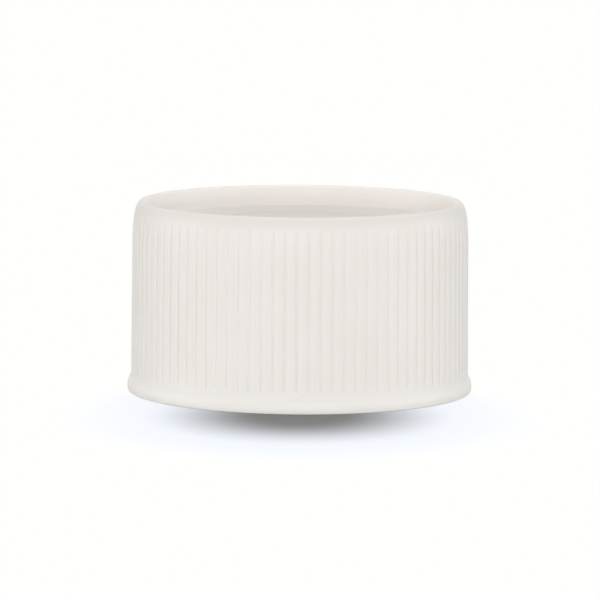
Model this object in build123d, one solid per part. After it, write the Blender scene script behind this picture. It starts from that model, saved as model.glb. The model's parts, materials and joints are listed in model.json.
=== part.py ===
"""Open-top screw closure with a ribbed skirt, and the septum that fills its window.

Millimetres, +Z up. The closure stands mouth down: its foot lies on Z = 0 and its axis is the Z axis.
"""
from build123d import *
from math import sqrt
import os

# ---------------------------------------------------------------- outside of the closure
total_height = 15.2
skirt_diameter = 27.0          # over the ribs, where they meet the bead
wall_thickness = 1.35          # from the top of the ribs to the threaded bore
skirt_draft = 0.07             # how far the wall leans in from the bead to the shoulder
shoulder_height = 3.9          # the curve that closes the wall into the rim's crest
shoulder_rise = 2.9            # how long that curve keeps near the wall's direction
shoulder_round = 0.5           # how long it keeps near the crest's direction
crest_inset = 0.85             # the rim's highest circle lies this far inside the skirt

# rolled bead round the mouth, a barrel arc in section
bead_reach = 0.3               # how far the bead stands out from the skirt
bead_roll_radius = 1.35
bead_roll_height = 0.4         # height of the arc's widest point
foot_edge_break = 0.12

# ribs, left standing between narrow grooves
groove_count = 90
groove_width = 0.18
groove_floor_width = 0.06
groove_depth = 0.09
groove_start_above_bead = 0.1

# ---------------------------------------------------------------- recessed top
crest_edge_break = 0.1
rim_bevel_width = 0.5
rim_bevel_depth = 0.93
recess_depth = 1.6
recess_wall_lean = 0.15
panel_thickness = 1.3
window_diameter = 13.0
window_edge_break = 0.05

# ---------------------------------------------------------------- inside of the closure
mouth_chamfer = 0.4
pocket_inset = 0.8             # the septum's pocket is this much narrower, all round, than the bore
septum_thickness = 3.0
septum_side_clearance = 0.15
plug_clearance = 0.05          # between the septum's raised centre and the window
plug_drop = 0.02               # how far that centre stays below the panel
retainer_reach = 0.3           # how far the retaining lip stands in from the septum's pocket
retainer_land = 0.3
retainer_clearance = 0.05      # between the septum's lower face and the start of the lip
lip_taper_height = 1.0         # cone from the lip out to the threaded bore

# ---------------------------------------------------------------- sizes that follow
skirt_radius = skirt_diameter / 2
bead_radius = skirt_radius + bead_reach
crest_radius = skirt_radius - crest_inset
bore_radius = skirt_radius - wall_thickness
pocket_radius = bore_radius - pocket_inset
septum_radius = pocket_radius - septum_side_clearance
window_radius = window_diameter / 2
plug_radius = window_radius - plug_clearance

bead_roll_centre = bead_radius - bead_roll_radius
bead_top = bead_roll_height + sqrt(bead_roll_radius**2 - (skirt_radius - bead_roll_centre) ** 2)
foot_radius = bead_roll_centre + sqrt(bead_roll_radius**2 - (bead_roll_height - foot_edge_break) ** 2)
shoulder_foot = total_height - shoulder_height
shoulder_radius = skirt_radius - skirt_draft

panel_top = total_height - recess_depth
panel_underside = panel_top - panel_thickness
bevel_radius = crest_radius - crest_edge_break
recess_rim_radius = bevel_radius - rim_bevel_width
recess_radius = recess_rim_radius - recess_wall_lean

lip_radius = pocket_radius - retainer_reach
septum_underside = panel_underside - septum_thickness
lip_start = septum_underside - retainer_clearance
lip_top = lip_start - retainer_reach
lip_foot = lip_top - retainer_land
bore_top = lip_foot - lip_taper_height


def outer_line():
    """Foot, bead, skirt and shoulder, from the mouth up to the crest."""
    foot = Line((bore_radius + mouth_chamfer, 0), (foot_radius - foot_edge_break, 0))
    edge_break = Line(foot @ 1, (foot_radius, foot_edge_break))
    bead = ThreePointArc(edge_break @ 1, (bead_radius, bead_roll_height), (skirt_radius, bead_top))
    skirt = Line(bead @ 1, (shoulder_radius, shoulder_foot))
    shoulder = Bezier(
        skirt @ 1,
        (shoulder_radius, shoulder_foot + shoulder_rise),
        (crest_radius + shoulder_round, total_height),
        (crest_radius, total_height),
    )
    return [foot, edge_break, bead, skirt, shoulder]


def top_line():
    """Bevelled rim, recess, panel and window, from the crest in and down."""
    return Polyline(
        (crest_radius, total_height),
        (bevel_radius, total_height - crest_edge_break / 2),
        (recess_rim_radius, total_height - rim_bevel_depth),
        (recess_radius, panel_top),
        (window_radius + window_edge_break, panel_top),
        (window_radius, panel_top - window_edge_break),
        (window_radius, panel_underside),
    )


def inner_line():
    """Panel's underside, septum pocket, retaining lip and threaded bore, down to the mouth."""
    return Polyline(
        (window_radius, panel_underside),
        (pocket_radius, panel_underside),
        (pocket_radius, lip_start),
        (lip_radius, lip_top),
        (lip_radius, lip_foot),
        (bore_radius, bore_top),
        (bore_radius, mouth_chamfer),
        (bore_radius + mouth_chamfer, 0),
    )


def turned_body():
    """The closure without its grooves, as one solid of revolution."""
    outline = Wire(Curve() + outer_line() + top_line() + inner_line())
    return revolve(Plane.XZ * make_face(outline), Axis.Z)


def groove_cutters():
    """One wedge for each groove, leaning with the wall and running out where the shoulder curves in."""
    start = bead_top + groove_start_above_bead
    length = total_height - start
    lean = skirt_draft * length / (shoulder_foot - bead_top)
    floor_radius = skirt_radius - groove_depth
    outside_radius = skirt_radius + groove_depth
    outside_width = 2 * groove_width - groove_floor_width
    section = Polygon(
        (floor_radius, -groove_floor_width / 2),
        (outside_radius, -outside_width / 2),
        (outside_radius, outside_width / 2),
        (floor_radius, groove_floor_width / 2),
        align=None,
    )
    wedge = Solid.extrude((Pos(0, 0, start) * section).face(), (-lean, 0, length))
    pitch = 360 / groove_count
    return [Rot(0, 0, (turn + 0.5) * pitch) * wedge for turn in range(groove_count)]


def make_cap_shell():
    return turned_body() - groove_cutters()


def make_septum():
    """A disc under the panel, with a raised centre that fills the window."""
    on_its_foot = (Align.CENTER, Align.CENTER, Align.MIN)
    disc = Pos(0, 0, septum_underside) * Cylinder(septum_radius, septum_thickness, align=on_its_foot)
    plug_height = septum_thickness + panel_thickness - plug_drop
    plug = Pos(0, 0, septum_underside) * Cylinder(plug_radius, plug_height, align=on_its_foot)
    return disc + plug


os.makedirs("parts", exist_ok=True)
export_step(make_cap_shell(), "parts/cap_shell.step")
export_step(make_septum(), "parts/septum.step")
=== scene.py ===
"""Looks of an open-top screw closure with a ribbed skirt, and of the septum it holds.

Lengths that shape a piece are written in millimetres and turned into metres where a mesh or a field is made.
The stage is written in metres. The closure stands mouth down with its axis on Z.
"""

import json
from math import acos, cos, pi, radians, sin, sqrt, tan

import bmesh
import bpy
from mathutils import Matrix, Vector


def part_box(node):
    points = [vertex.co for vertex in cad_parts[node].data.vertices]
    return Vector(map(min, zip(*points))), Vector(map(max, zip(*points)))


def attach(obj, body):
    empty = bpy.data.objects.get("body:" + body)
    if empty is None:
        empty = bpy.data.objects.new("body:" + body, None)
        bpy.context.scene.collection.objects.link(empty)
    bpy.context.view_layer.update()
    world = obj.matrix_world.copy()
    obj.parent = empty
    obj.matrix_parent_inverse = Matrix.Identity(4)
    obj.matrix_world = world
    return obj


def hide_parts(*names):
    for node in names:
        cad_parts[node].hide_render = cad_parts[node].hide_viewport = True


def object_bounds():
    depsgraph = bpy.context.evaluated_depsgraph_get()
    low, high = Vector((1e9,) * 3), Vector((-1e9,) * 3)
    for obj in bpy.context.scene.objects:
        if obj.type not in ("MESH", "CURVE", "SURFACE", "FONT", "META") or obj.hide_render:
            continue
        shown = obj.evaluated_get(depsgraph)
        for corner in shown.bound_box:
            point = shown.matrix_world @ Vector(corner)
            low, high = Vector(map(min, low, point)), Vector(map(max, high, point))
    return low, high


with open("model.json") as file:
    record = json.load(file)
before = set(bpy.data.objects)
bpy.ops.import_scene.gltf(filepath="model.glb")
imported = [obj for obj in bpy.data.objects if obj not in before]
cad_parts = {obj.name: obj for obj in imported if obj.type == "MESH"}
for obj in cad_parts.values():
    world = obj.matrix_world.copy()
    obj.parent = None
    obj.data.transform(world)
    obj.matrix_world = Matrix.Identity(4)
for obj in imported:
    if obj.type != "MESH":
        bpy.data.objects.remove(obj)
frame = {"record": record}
cad_low, cad_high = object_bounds()
MM = 0.001

# ------------------------------------------------------------------ sizes taken from the frame, mm
mounts = {mount["name"]: mount for mount in frame["record"]["mounts"]}
septum_low, septum_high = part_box("septum")

total_height = cad_high.z / MM
bead_radius = cad_high.x / MM
bore_radius = mounts["bottle_thread"]["dims"]["r_mm"]
septum_radius = septum_high.x / MM
septum_bottom = septum_low.z / MM
plug_rise = 0.025               # the raised centre stands this much higher than its solid, to hide the seam
plug_top = septum_high.z / MM + plug_rise

# ------------------------------------------------------------------ sizes of the closure's outside, mm
bead_reach = 0.3
bead_roll_radius = 1.35
bead_roll_height = 0.4
bead_crease_rounding = 0.3
foot_rounding = 0.14
skirt_draft = 0.07
shoulder_height = 3.9
shoulder_rise = 2.9
shoulder_round = 0.5
crest_inset = 0.85
crest_rounding = 0.3
crest_turn = radians(62)        # how far the crest turns over before the bevel

# ------------------------------------------------------------------ grooves between the ribs, mm
groove_count = 90
groove_columns = 8              # faces across one rib and its groove
groove_crowding = 0.8           # how much those faces crowd towards the groove, from 0 to 1
groove_width = 0.18
groove_floor_width = 0.06
groove_depth = 0.09
groove_start_above_bead = 0.42
groove_foot_slope = 1.2         # depth lost for each millimetre below the groove's start
groove_foot_margin = 0.1        # the finer rows pass the groove's start by its foot's height and this
groove_fade_start = 13.6        # heights between which the groove dies away in the shoulder
groove_fade_end = 14.7
groove_fade_overshoot = 1.5     # the fade lifts the groove by this many depths, so its soft lips go too
groove_lip_softness = 0.03

# ------------------------------------------------------------------ recessed top and inside, mm
rim_bevel_width = 0.6
rim_bevel_depth = 0.93
rim_bevel_rounding = 0.35
recess_depth = 1.6
recess_wall_lean = 0.15
recess_foot_rounding = 0.45
panel_thickness = 1.3
window_radius = 6.5
window_edge_rounding = 0.02
hidden_corner_rounding = 0.1
lip_taper_rounding = 0.2
sharp_corner_rounding = 0.06
plug_clearance = 0.01
plug_edge_rounding = 0.02
septum_edge_rounding = 0.12
mouth_chamfer = 0.4
pocket_side_clearance = 0.15
lip_reach = 0.3
lip_land = 0.3
lip_clearance = 0.05
lip_taper_height = 1.0

# ------------------------------------------------------------------ thread inside the skirt, mm
thread_lead = 3.175             # eight turns to the inch
thread_turns = 1.5
thread_start_height = 1.9
thread_reach = 1.1
thread_root_half_width = 1.0
thread_crest_half_width = 0.38
thread_root_rounding = 0.05
thread_crest_rounding = 0.22
thread_bite = 0.12              # how far the ridge is sunk into the wall it grows from
thread_fade_share = 0.09        # share of its run over which each end dies away

# ------------------------------------------------------------------ faces along and round the pieces
corner_pieces = 3
corner_flat_margin = 0.05               # mm between an arc's end and the next point, as are the next two
foot_pieces = 4
foot_flat_margin = 0.03
crease_pieces = 5
crease_flat_margin = 0.02
crest_pieces = 5
shoulder_pieces = 20
bead_pieces = 9
groove_foot_pieces = 5
skirt_pieces = 4
septum_sectors = 96
septum_rings = (0.0, 0.3, 0.6, 0.85)    # as shares of the face's radius
thread_steps = 260
weld_distance = 1e-7                    # metres, as is the next
degenerate_length = 1e-8

# ------------------------------------------------------------------ bands of the materials, mm
panel_shade_radius_band = (11.4, 12.0)        # the plastic's colour changes over each of these: painted shade on the panel and the crest, painted light on the bead
panel_shade_height_band = (12.9, 13.2)
crest_shade_radius_band = (12.5, 12.7)
crest_shade_height_band = (13.8, 15.3)
bead_light_height_band = (0.9, 2.6)
film_band = (septum_bottom + 0.12, septum_bottom + 0.14)    # where the septum's film ends

# ------------------------------------------------------------------ floor, in metres
floor_reach = 3.0
# the sheet as the camera sees it, darker than the same sheet lights the object, which deepens the painted
# shadow
shadow_paper_colour = (0.272, 0.272, 0.275, 1.0)
bounce_colour = (0.59, 0.60, 0.615, 1.0)    # the same sheet as the object sees it
# glow that lifts the sheet to white around the painted shadow, bluish to paint a cool tint at its edge
lift_colour = (0.884, 0.926, 1.0, 1.0)
far_white = (1.0, 1.0, 0.99, 1.0)
paper_lift = 0.785
# the glow is withheld over an ellipse round this centre, which paints the shadow's shape
shade_centre = (0.0003, -0.0145, 0.0)
shade_narrowing = 1.17          # the painted shadow is this much narrower across than it is deep
shade_core = 0.0031
shade_reach = 0.015
white_reach = 0.0225

# ------------------------------------------------------------------ camera
camera_distance_in_radii = 26.0
camera_elevation = radians(7.2)
camera_azimuth = radians(1.1)
camera_roll = 0.0066
camera_lens = 263.0             # mm, as are the next two
sensor_width = 36.0
aim_below_middle = 0.4

# ------------------------------------------------------------------ lights, in metres and watts
softboxes = (                   # name, place, aim, width, height, power
    ("overhead_back", (0.0, 0.42, 0.72), (0, 0, 0), 0.7, 0.6, 2.0),
    ("overhead", (0.0, -0.05, 0.85), (0, 0, 0), 0.7, 0.6, 3.7),
    ("low_front", (0.0, -0.9, 0.12), (0, 0, 0.01), 1.2, 0.24, 6.0),
    ("low_left", (-0.9, -0.04, 0.12), (0, 0, 0.01), 0.9, 0.24, 3.1),
    ("low_right", (0.9, 0.0, 0.12), (0, 0, 0.01), 0.9, 0.24, 3.1),
)

# ------------------------------------------------------------------ sizes that follow, mm
skirt_radius = bead_radius - bead_reach
crest_radius = skirt_radius - crest_inset
shoulder_radius = skirt_radius - skirt_draft
shoulder_foot = total_height - shoulder_height
bead_roll_centre = bead_radius - bead_roll_radius
bead_top = bead_roll_height + sqrt(bead_roll_radius**2 - (skirt_radius - bead_roll_centre) ** 2)
foot_radius = bead_roll_centre + sqrt(bead_roll_radius**2 - bead_roll_height**2)
groove_start = bead_top + groove_start_above_bead
panel_top = total_height - recess_depth
panel_underside = panel_top - panel_thickness
plug_radius = window_radius - plug_clearance
recess_rim_radius = crest_radius - rim_bevel_width
recess_radius = recess_rim_radius - recess_wall_lean
pocket_radius = septum_radius + pocket_side_clearance
lip_radius = pocket_radius - lip_reach
lip_start = septum_bottom - lip_clearance
lip_top = lip_start - lip_reach
lip_foot = lip_top - lip_land
bore_top = lip_foot - lip_taper_height


# ================================================================== node trees
def connect(tree, socket, value):
    """Link a field into a socket, or write a plain value there."""
    if isinstance(value, Field):
        tree.links.new(value.socket, socket)
    else:
        socket.default_value = value


class Field:
    """A node's output that takes part in ordinary arithmetic, adding Math nodes as it goes."""

    def __init__(self, tree, socket):
        self.tree = tree
        self.socket = socket

    def maths(self, operation, *values):
        node = self.tree.nodes.new("ShaderNodeMath")
        node.operation = operation
        for socket, value in zip(node.inputs, values):
            connect(self.tree, socket, value)
        return Field(self.tree, node.outputs[0])

    def __add__(self, other):
        return self.maths("ADD", self, other)

    def __radd__(self, other):
        return self.maths("ADD", other, self)

    def __sub__(self, other):
        return self.maths("SUBTRACT", self, other)

    def __rsub__(self, other):
        return self.maths("SUBTRACT", other, self)

    def __mul__(self, other):
        return self.maths("MULTIPLY", self, other)

    def __rmul__(self, other):
        return self.maths("MULTIPLY", other, self)

    def __truediv__(self, other):
        return self.maths("DIVIDE", self, other)

    def __rtruediv__(self, other):
        return self.maths("DIVIDE", other, self)

    def __abs__(self):
        return self.maths("ABSOLUTE", self)

    def power(self, exponent):
        return self.maths("POWER", self, exponent)

    def sine(self):
        return self.maths("SINE", self)

    def cosine(self):
        return self.maths("COSINE", self)

    def rounded(self):
        return self.maths("ROUND", self)

    def at_least(self, floor):
        return self.maths("MAXIMUM", self, floor)

    def at_most(self, ceiling):
        return self.maths("MINIMUM", self, ceiling)

    def soft_maximum(self, other, softness):
        return self.maths("SMOOTH_MAX", self, other, softness)

    def clamped(self):
        return self.at_least(0.0).at_most(1.0)

    def step(self, low, high):
        """0 below low, 1 above high, with a smooth rise between."""
        share = ((self - low) / (high - low)).clamped()
        return share * share * (3.0 - 2.0 * share)


class Made:
    """A node just added, whose outputs are read by name or number."""

    def __init__(self, tree, node):
        self.tree = tree
        self.node = node

    def __getitem__(self, name):
        return Field(self.tree, self.node.outputs[name])


class Graph:
    """Builds one node tree, through add for every node that isn't arithmetic."""

    def __init__(self, tree):
        self.tree = tree
        self.tree.nodes.clear()

    def add(self, kind, settings=None, sockets=None):
        node = self.tree.nodes.new(kind)
        for name, value in (settings or {}).items():
            setattr(node, name, value)
        for name, value in (sockets or {}).items():
            connect(self.tree, node.inputs[name], value)
        return Made(self.tree, node)


# ================================================================== outlines in radius and height, mm
def along_line(start, end, pieces):
    """Points along a straight line, both ends included."""
    return [tuple(a + (b - a) * step / pieces for a, b in zip(start, end)) for step in range(pieces + 1)]


def along_bezier(p0, p1, p2, p3, pieces):
    """Points along a cubic curve with these four control points, both ends included."""
    points = []
    for step in range(pieces + 1):
        t = step / pieces
        weights = ((1 - t) ** 3, 3 * t * (1 - t) ** 2, 3 * t * t * (1 - t), t**3)
        points.append(tuple(sum(w * p[axis] for w, p in zip(weights, (p0, p1, p2, p3))) for axis in (0, 1)))
    return points


def rounded_corner(before, corner, after, radius, pieces, margin):
    """Arc that replaces a corner, with one more point on each side to keep the flats flat."""
    corner = Vector(corner)
    back = (Vector(before) - corner).normalized()
    ahead = (Vector(after) - corner).normalized()
    half_angle = acos(max(-1.0, min(1.0, back.dot(ahead)))) / 2
    reach = radius / tan(half_angle)
    centre = corner + (back + ahead).normalized() * radius / sin(half_angle)
    first = corner + back * reach - centre
    sweep = pi - 2 * half_angle
    turn = 1 if first.x * ahead.y - first.y * ahead.x > 0 else -1
    points = [corner + back * (reach + margin)]
    for step in range(pieces + 1):
        points.append(centre + Matrix.Rotation(turn * sweep * step / pieces, 2) @ first)
    points.append(corner + ahead * (reach + margin))
    return [tuple(point) for point in points]


def rounded_path(corners, radii):
    """Points through the inner corners of a path, each corner rounded by its own radius."""
    points = []
    for before, corner, after, radius in zip(corners, corners[1:], corners[2:], radii):
        points += rounded_corner(before, corner, after, radius, corner_pieces, corner_flat_margin)
    return points


def bead_outline():
    """Barrel arc of the bead, from just above the foot to just under the skirt."""
    low = acos((foot_radius - bead_roll_centre) / bead_roll_radius)
    high = acos((skirt_radius - bead_roll_centre) / bead_roll_radius)
    points = []
    for step in range(1, bead_pieces):
        angle = -low + (high + low) * step / bead_pieces
        radius = bead_roll_centre + bead_roll_radius * cos(angle)
        points.append((radius, bead_roll_height + bead_roll_radius * sin(angle)))
    return points


def closure_outline():
    """Closed section of the closure's wall: outside up, over the rim, down inside and across the foot."""
    bead = bead_outline()
    foot_inner = (bore_radius + mouth_chamfer, 0)
    foot_outer = (foot_radius, 0)
    bead_end = (skirt_radius, bead_top)
    skirt_end = (shoulder_radius, shoulder_foot)
    foot = rounded_corner(foot_inner, foot_outer, bead[0], foot_rounding, foot_pieces, foot_flat_margin)
    crease = rounded_corner(
        bead[-1], bead_end, skirt_end, bead_crease_rounding, crease_pieces, crease_flat_margin
    )
    groove_foot_top = groove_start + groove_depth / groove_foot_slope + groove_foot_margin
    above_groove_foot = (skirt_radius, groove_foot_top)
    skirt = along_line(crease[-1], above_groove_foot, groove_foot_pieces)[1:]
    skirt += along_line(above_groove_foot, skirt_end, skirt_pieces)[1:]
    shoulder = along_bezier(
        skirt_end,
        (shoulder_radius, shoulder_foot + shoulder_rise),
        (crest_radius + shoulder_round, total_height),
        (crest_radius, total_height),
        shoulder_pieces,
    )[1:]
    crest = [
        (crest_radius - crest_rounding * sin(turn), total_height - crest_rounding * (1 - cos(turn)))
        for turn in (crest_turn * (step + 1) / crest_pieces for step in range(crest_pieces))
    ]
    inside_corners = [
        crest[-1],
        (recess_rim_radius, total_height - rim_bevel_depth),
        (recess_radius, panel_top),
        (window_radius, panel_top),
        (window_radius, panel_underside),
        (pocket_radius, panel_underside),
        (pocket_radius, lip_start),
        (lip_radius, lip_top),
        (lip_radius, lip_foot),
        (bore_radius, bore_top),
        (bore_radius, mouth_chamfer),
        foot_inner,
        foot_outer,
    ]
    roundings = [rim_bevel_rounding, recess_foot_rounding, window_edge_rounding, sharp_corner_rounding]
    roundings += 4 * [hidden_corner_rounding]
    roundings += [lip_taper_rounding, hidden_corner_rounding, sharp_corner_rounding]
    inside = rounded_path(inside_corners, roundings)
    return foot[1:] + bead[1:-1] + crease + skirt + shoulder + crest + inside + foot[:2]


def septum_outline():
    """Half section of the septum: out from its axis under the film, up the edge, back over its centre."""
    corners = [
        (0, septum_bottom),
        (septum_radius, septum_bottom),
        (septum_radius, panel_underside),
        (plug_radius, panel_underside),
        (plug_radius, plug_top),
        (0, plug_top),
    ]
    under = [(septum_radius * share, septum_bottom) for share in septum_rings]
    over = [(plug_radius * share, plug_top) for share in reversed(septum_rings)]
    roundings = 2 * [septum_edge_rounding] + 2 * [plug_edge_rounding]
    return under + rounded_path(corners, roundings) + over


def thread_outline():
    """Closed section of the ridge: how far it stands in from the wall, and its place along the axis."""
    root = thread_root_half_width
    crest = thread_crest_half_width
    corners = [
        (-thread_bite, -root),
        (0, -root),
        (thread_reach, -crest),
        (thread_reach, crest),
        (0, root),
        (-thread_bite, root),
    ]
    roundings = [thread_root_rounding, thread_crest_rounding, thread_crest_rounding, thread_root_rounding]
    return corners[:1] + rounded_path(corners, roundings) + corners[-1:] + corners[:1]


def outline_mesh(name, points):
    """The outline's points as loose vertices in the XZ plane, in metres."""
    mesh = bpy.data.meshes.new(name)
    mesh.from_pydata([(radius * MM, 0.0, height * MM) for radius, height in points], [], [])
    return mesh


# ================================================================== geometry trees
def new_geometry_tree(name, inputs):
    """A modifier tree with a geometry input, named number inputs and a material input."""
    tree = bpy.data.node_groups.new(name, "GeometryNodeTree")
    tree.is_modifier = True
    tree.interface.new_socket("Outline", in_out="INPUT", socket_type="NodeSocketGeometry")
    for label, value in inputs.items():
        kind = "NodeSocketInt" if isinstance(value, int) else "NodeSocketFloat"
        tree.interface.new_socket(label, in_out="INPUT", socket_type=kind)
    tree.interface.new_socket("Material", in_out="INPUT", socket_type="NodeSocketMaterial")
    tree.interface.new_socket("Geometry", in_out="OUTPUT", socket_type="NodeSocketGeometry")
    return tree


def sheet_of_outline(graph, given, columns_across):
    """A grid with a row for each point of the outline, and the outline's place at every vertex."""
    outline = given["Outline"]
    size = graph.add("GeometryNodeAttributeDomainSize", {"component": "MESH"}, {"Geometry": outline})
    rows = size["Point Count"]
    grid = graph.add("GeometryNodeMeshGrid", None, {"Vertices X": columns_across, "Vertices Y": rows})
    across = graph.add("ShaderNodeSeparateXYZ", None, {"Vector": grid["UV Map"]})
    row = (across["Y"] * (rows - 1.0)).rounded()
    position = graph.add("GeometryNodeInputPosition")["Position"]
    place = graph.add(
        "GeometryNodeSampleIndex",
        {"data_type": "FLOAT_VECTOR", "domain": "POINT"},
        {"Geometry": outline, "Value": position, "Index": row},
    )
    section = graph.add("ShaderNodeSeparateXYZ", None, {"Vector": place["Value"]})
    return grid["Mesh"], across["X"], section["X"], section["Z"]


def finish_tree(graph, geometry, given):
    """Weld the seams, shade smooth, realize and give the material."""
    last_steps = (
        ("GeometryNodeMergeByDistance", {"Distance": weld_distance}),
        ("GeometryNodeSetShadeSmooth", {"Shade Smooth": True}),
        ("GeometryNodeRealizeInstances", {}),
        ("GeometryNodeSetMaterial", {"Material": given["Material"]}),
    )
    for kind, sockets in last_steps:
        geometry = graph.add(kind, None, {"Geometry": geometry, **sockets})["Geometry"]
    graph.add("NodeGroupOutput", None, {"Geometry": geometry})


def around_axis(graph, mesh, radius, angle, height):
    """Every vertex of the mesh placed by its radius, angle and height."""
    where = graph.add(
        "ShaderNodeCombineXYZ",
        None,
        {"X": radius * angle.cosine(), "Y": radius * angle.sine(), "Z": height},
    )
    placed = graph.add("GeometryNodeSetPosition", None, {"Geometry": mesh, "Position": where["Vector"]})
    return placed["Geometry"]


def turned_tree(inputs):
    """Turns the outline about Z as a ring of equal sectors, each with one groove down its middle."""
    tree = new_geometry_tree("turned_with_grooves", inputs)
    graph = Graph(tree)
    given = graph.add("NodeGroupInput")
    half_pitch = pi / given["Sectors"]
    mesh, across, radius, height = sheet_of_outline(graph, given, given["Columns"] + 1.0)

    # columns crowd towards the groove
    side = across * 2.0 - 1.0
    crowding = given["Crowding"]
    angle = half_pitch * (side * (1.0 - crowding) + crowding * side * side * side)

    # a wedge whose floor follows the outline and runs out at the bead and in the shoulder
    sideways = abs(angle * given["Skirt radius"])
    half_floor = given["Groove floor"] / 2.0
    flank = (sideways - half_floor).at_least(0.0) / (given["Groove width"] / 2.0 - half_floor)
    run_out = (given["Groove start"] - height).at_least(0.0) * given["Foot slope"]
    fade = height.step(given["Fade start"], given["Fade end"]) * given["Groove depth"] * groove_fade_overshoot
    outside = (radius - given["Inside radius"]).step(0.0, 0.1 * MM)
    cut = given["Groove depth"] * (1.0 - flank) - run_out - fade
    grooved = radius - cut.soft_maximum(0.0, given["Lip softness"]) * outside
    sector = around_axis(graph, mesh, grooved, angle, height)

    pivots = graph.add("GeometryNodePoints", None, {"Count": given["Sectors"]})
    turn = (graph.add("GeometryNodeInputIndex")["Index"] + 0.5) * half_pitch * 2.0
    rotation = graph.add("ShaderNodeCombineXYZ", None, {"Z": turn})
    ring = graph.add(
        "GeometryNodeInstanceOnPoints",
        None,
        {"Points": pivots["Points"], "Instance": sector, "Rotation": rotation["Vector"]},
    )
    whole = graph.add("GeometryNodeRealizeInstances", None, {"Geometry": ring["Instances"]})
    finish_tree(graph, whole["Geometry"], given)
    return tree


def helix_tree(inputs):
    """Sweeps the outline along a right-handed helix on the wall of a bore, dying away at both ends."""
    tree = new_geometry_tree("helical_ridge", inputs)
    graph = Graph(tree)
    given = graph.add("NodeGroupInput")
    mesh, along, reach, sideways = sheet_of_outline(graph, given, given["Steps"] + 1.0)
    growing = along.step(0.0, given["Fade"])
    dying = along.step(1.0 - given["Fade"], 1.0)
    size = growing * (1.0 - dying)
    radius = given["Bore radius"] + given["Bite"] * (1.0 - size) - reach * size
    angle = along * given["Turns"] * 2.0 * pi
    height = given["Start height"] + along * given["Turns"] * given["Lead"] + sideways * size
    finish_tree(graph, around_axis(graph, mesh, radius, angle, height), given)
    return tree


def made_by_nodes(name, outline, tree, inputs, material):
    """Run a geometry tree on an outline and keep the result as a plain mesh with outward faces."""
    seed = bpy.data.objects.new(name + "_seed", outline_mesh(name + "_outline", outline))
    bpy.context.collection.objects.link(seed)
    modifier = seed.modifiers.new("shape", "NODES")
    modifier.node_group = tree
    values = dict(inputs, Material=material)
    for item in tree.interface.items_tree:
        if item.in_out == "INPUT" and item.name in values:
            modifier[item.identifier] = values[item.name]
    result = bpy.data.meshes.new_from_object(seed.evaluated_get(bpy.context.evaluated_depsgraph_get()))
    seed.modifiers.remove(modifier)
    bpy.data.objects.remove(seed)

    shell = bmesh.new()
    shell.from_mesh(result)
    bmesh.ops.dissolve_degenerate(shell, dist=degenerate_length, edges=shell.edges)
    bmesh.ops.recalc_face_normals(shell, faces=shell.faces)
    shell.to_mesh(result)
    shell.free()

    result.name = name
    piece = bpy.data.objects.new(name, result)
    bpy.context.collection.objects.link(piece)
    return piece


# ================================================================== materials
def new_material(name):
    """An empty node material and the graph that builds it."""
    material = bpy.data.materials.new(name)
    material.use_nodes = True
    return material, Graph(material.node_tree)


def noise(graph, where, scale, detail):
    """Noise in space, from 0 to 1; the scale counts its cells in a metre."""
    return graph.add("ShaderNodeTexNoise", None, {"Vector": where, "Scale": scale, "Detail": detail})["Fac"]


def rise(field, band):
    """0 under the band and 1 over it, for a field in metres and a band in millimetres."""
    low, high = band
    return field.step(low * MM, high * MM)


def blend(graph, share, first, second):
    """Colour between two colours or colour fields."""
    return graph.add("ShaderNodeMix", {"data_type": "RGBA"}, {0: share, 6: first, 7: second})[2]


def seen_straight(graph):
    """1 for rays from the camera, a reflection or a transmission, 0 for those that gather light."""
    ray = graph.add("ShaderNodeLightPath")
    return (ray["Is Camera Ray"] + ray["Is Glossy Ray"] + ray["Is Transmission Ray"]).clamped()


def moulded_plastic():
    """Ivory polypropylene with a satin mould finish, faint flow clouding and a fine grain; painted shade
    darkens the recessed panel and the crest, and painted light brightens the bead.
    """
    material, graph = new_material("moulded_polypropylene")
    where = graph.add("ShaderNodeTexCoord")["Object"]
    clouding = noise(graph, where, scale=160.0, detail=3.0)
    fine = noise(graph, where, scale=2600.0, detail=3.0)
    grain = noise(graph, where, scale=9000.0, detail=2.0)
    ivory = (0.84, 0.803, 0.762, 1.0)
    warmer = (0.825, 0.785, 0.74, 1.0)
    # the next three tints are painted: shade on the recessed panel, light on the bead, shade on the crest
    panel_painted_shade = (0.70, 0.655, 0.615, 1.0)
    bead_painted_light = (0.842, 0.811, 0.776, 1.0)
    crest_painted_shade = (0.742, 0.71, 0.673, 1.0)
    cloud_edges = (0.35, 0.7)
    fine_share = 0.6
    place = graph.add("ShaderNodeSeparateXYZ", None, {"Vector": where})
    height = place["Z"]
    radius = (place["X"] * place["X"] + place["Y"] * place["Y"]).power(0.5)
    # painted shade: the recessed panel is tinted darker, as if less light fell into the recess
    panel = (1.0 - rise(radius, panel_shade_radius_band)) * rise(height, panel_shade_height_band)
    # painted light: the bead near the foot is tinted lighter, as if lit more
    bead = 1.0 - rise(height, bead_light_height_band)
    # painted shade: the rim's crest and bevel are tinted darker
    rim = rise(height, crest_shade_height_band) * rise(radius, crest_shade_radius_band)
    colour = blend(graph, clouding.step(*cloud_edges), ivory, warmer)
    # the tints laid over the clouded ivory here are painted shade and painted light
    for share, tint in ((panel, panel_painted_shade), (bead, bead_painted_light), (rim, crest_painted_shade)):
        colour = blend(graph, share, colour, tint)
    bump = graph.add(
        "ShaderNodeBump",
        None,
        {"Strength": 0.12, "Distance": 0.00002, "Height": fine * fine_share + grain * (1.0 - fine_share)},
    )
    shader = graph.add(
        "ShaderNodeBsdfPrincipled",
        {"subsurface_method": "RANDOM_WALK"},
        {
            "Base Color": colour,
            "Roughness": 0.48 + 0.08 * fine,
            "IOR": 1.49,
            "Subsurface Weight": 0.25,
            "Subsurface Radius": (1.0, 0.9, 0.75),
            "Subsurface Scale": 0.0006,
            "Normal": bump["Normal"],
        },
    )
    graph.add("ShaderNodeOutputMaterial", None, {"Surface": shader["BSDF"]})
    return material


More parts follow.
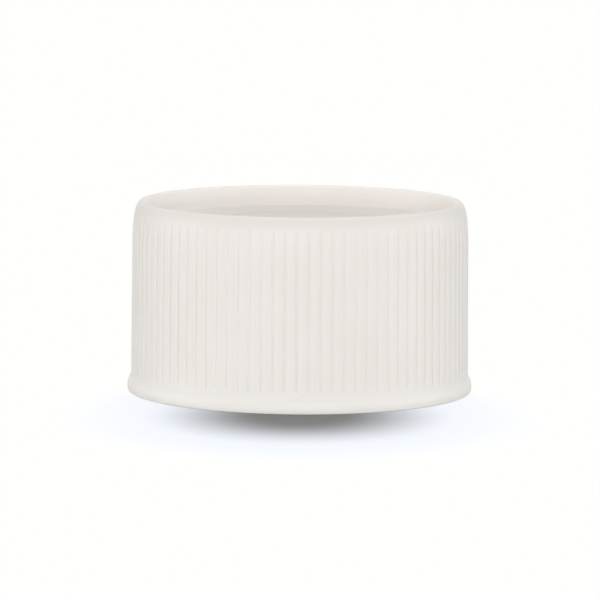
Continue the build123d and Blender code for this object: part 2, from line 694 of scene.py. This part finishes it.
def septum_rubber():
    """Off-white silicone with a matt skin, and a thin glossy film on the side that faces the bottle."""
    material, graph = new_material("silicone_with_film")
    where = graph.add("ShaderNodeTexCoord")["Object"]
    height = graph.add("ShaderNodeSeparateXYZ", None, {"Vector": where})["Z"]
    film = 1.0 - rise(height, film_band)
    clouding = noise(graph, where, scale=300.0, detail=3.0)
    grain = noise(graph, where, scale=5200.0, detail=3.0)
    pale = (0.775, 0.73, 0.68, 1.0)
    dusky = (0.725, 0.68, 0.63, 1.0)
    film_grey = (0.80, 0.81, 0.80, 1.0)
    colour = blend(graph, film, blend(graph, clouding, pale, dusky), film_grey)
    bump = graph.add("ShaderNodeBump", None, {"Strength": 0.25, "Distance": 0.00002, "Height": grain})
    shader = graph.add(
        "ShaderNodeBsdfPrincipled",
        {"subsurface_method": "RANDOM_WALK"},
        {
            "Base Color": colour,
            "Roughness": 0.62 - 0.27 * film + 0.08 * grain,
            "IOR": 1.41,
            "Subsurface Weight": 0.2,
            "Subsurface Radius": (1.0, 0.9, 0.8),
            "Subsurface Scale": 0.0008,
            "Normal": bump["Normal"],
        },
    )
    graph.add("ShaderNodeOutputMaterial", None, {"Surface": shader["BSDF"]})
    return material


def floor_white():
    """Pale sheet that shows the object's shadow beside it, partly cast by the lamps and partly painted, and
    is plain white further off.
    """
    material, graph = new_material("studio_floor")
    where = graph.add("ShaderNodeTexCoord")["Object"]
    straight = seen_straight(graph)
    shade = graph.add(
        "ShaderNodeMapping",
        {"vector_type": "TEXTURE"},
        {"Vector": where, "Location": shade_centre, "Scale": (1.0 / shade_narrowing, 1.0, 1.0)},
    )["Vector"]
    from_shade = graph.add("ShaderNodeVectorMath", {"operation": "LENGTH"}, {0: shade})["Value"]
    # painted shadow: near shade_centre the camera sees the dark sheet without the glow, which rises towards
    # shade_reach
    outside_painted_shadow = from_shade.step(shade_core, shade_reach) * straight
    far = from_shade.step(shade_reach, white_reach) * straight
    bounce = graph.add("ShaderNodeBsdfDiffuse", None, {"Color": bounce_colour})
    sheet = graph.add("ShaderNodeBsdfDiffuse", None, {"Color": shadow_paper_colour})
    paper = graph.add("ShaderNodeMixShader", None, {0: straight, 1: bounce["BSDF"], 2: sheet["BSDF"]})
    lift = graph.add("ShaderNodeEmission", None, {"Color": lift_colour, "Strength": paper_lift})
    lifted = graph.add("ShaderNodeAddShader", None, {0: paper["Shader"], 1: lift["Emission"]})
    white = graph.add("ShaderNodeEmission", None, {"Color": far_white, "Strength": 1.0})
    near = graph.add("ShaderNodeMixShader", None, {0: outside_painted_shadow, 1: paper["Shader"], 2: lifted["Shader"]})
    whole = graph.add("ShaderNodeMixShader", None, {0: far, 1: near["Shader"], 2: white["Emission"]})
    graph.add("ShaderNodeOutputMaterial", None, {"Surface": whole["Shader"]})
    material.cycles.emission_sampling = "NONE"
    return material


# ================================================================== pieces
cap_inputs = {
    "Sectors": groove_count,
    "Columns": groove_columns,
    "Crowding": groove_crowding,
    "Skirt radius": skirt_radius * MM,
    "Inside radius": crest_radius * MM,
    "Groove start": groove_start * MM,
    "Groove width": groove_width * MM,
    "Groove floor": groove_floor_width * MM,
    "Groove depth": groove_depth * MM,
    "Foot slope": groove_foot_slope,
    "Fade start": groove_fade_start * MM,
    "Fade end": groove_fade_end * MM,
    "Lip softness": groove_lip_softness * MM,
}
helix_inputs = {
    "Steps": thread_steps,
    "Turns": thread_turns,
    "Lead": thread_lead * MM,
    "Start height": thread_start_height * MM,
    "Bore radius": bore_radius * MM,
    "Bite": thread_bite * MM,
    "Fade": thread_fade_share,
}


def make_closure(plastic):
    """The turned shell with its grooves, and the thread's ridge on its bore."""
    shell = made_by_nodes("ribbed_closure", closure_outline(), turned_tree(cap_inputs), cap_inputs, plastic)
    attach(shell, "root")
    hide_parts("cap_shell")
    ridge = made_by_nodes("thread_ridge", thread_outline(), helix_tree(helix_inputs), helix_inputs, plastic)
    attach(ridge, "root")


def make_septum(rubber):
    """A disc with a raised centre: the same turning tree, with sectors that have no groove."""
    plain_sectors = {"Sectors": septum_sectors, "Columns": 1, "Crowding": 0.0, "Groove depth": 0.0}
    disc_inputs = {**cap_inputs, **plain_sectors}
    disc = made_by_nodes("septum_disc", septum_outline(), turned_tree(disc_inputs), disc_inputs, rubber)
    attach(disc, "root")
    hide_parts("septum")


# ================================================================== stage, lights and camera
def make_floor():
    """A square sheet under the object, part of the stage."""
    signs = ((-1, -1), (1, -1), (1, 1), (-1, 1))
    corners = [(floor_reach * x, floor_reach * y, 0) for x, y in signs]
    mesh = bpy.data.meshes.new("floor")
    mesh.from_pydata(corners, [], [(0, 1, 2, 3)])
    mesh.materials.append(floor_white())
    floor = bpy.data.objects.new("floor", mesh)
    bpy.context.collection.objects.link(floor)


def make_softbox(name, place, aim, width, height, power):
    """A white rectangular light that looks at a point near the object."""
    light = bpy.data.lights.new(name, "AREA")
    light.shape = "RECTANGLE"
    light.size = width
    light.size_y = height
    light.energy = power
    lamp = bpy.data.objects.new(name, light)
    look = (Vector(aim) - Vector(place)).to_track_quat("-Z", "Y").to_matrix().to_4x4()
    lamp.matrix_world = Matrix.Translation(place) @ look
    bpy.context.collection.objects.link(lamp)


def make_world():
    """A white backdrop that gives the object no light of its own."""
    world = bpy.data.worlds.new("studio")
    world.use_nodes = True
    graph = Graph(world.node_tree)
    white = (1.0, 1.0, 1.0, 1.0)
    unlit = graph.add("ShaderNodeBackground", None, {"Color": white, "Strength": 0.0})["Background"]
    seen = graph.add("ShaderNodeBackground", None, {"Color": white, "Strength": 1.0})["Background"]
    mix = graph.add("ShaderNodeMixShader", None, {0: seen_straight(graph), 1: unlit, 2: seen})
    graph.add("ShaderNodeOutputWorld", None, {"Surface": mix["Shader"]})
    bpy.context.scene.world = world


def make_camera():
    """A long lens, low above the bench, looking along +Y."""
    distance = camera_distance_in_radii * skirt_radius * MM
    aim = Vector((0.0, 0.0, (total_height / 2 - aim_below_middle) * MM))
    level = cos(camera_elevation)
    away = Vector((sin(camera_azimuth) * level, -cos(camera_azimuth) * level, sin(camera_elevation)))
    camera = bpy.data.cameras.new("camera")
    camera.sensor_width = sensor_width
    camera.lens = camera_lens
    holder = bpy.data.objects.new("camera", camera)
    look = (-away).to_track_quat("-Z", "Y").to_matrix().to_4x4()
    tilt = Matrix.Rotation(camera_roll, 4, "Z")
    holder.matrix_world = Matrix.Translation(aim + away * distance) @ look @ tilt
    bpy.context.collection.objects.link(holder)
    bpy.context.scene.camera = holder


make_closure(moulded_plastic())
make_septum(septum_rubber())
make_floor()
for softbox in softboxes:
    make_softbox(*softbox)
make_world()
make_camera()
bpy.context.scene.view_settings.view_transform = "Standard"
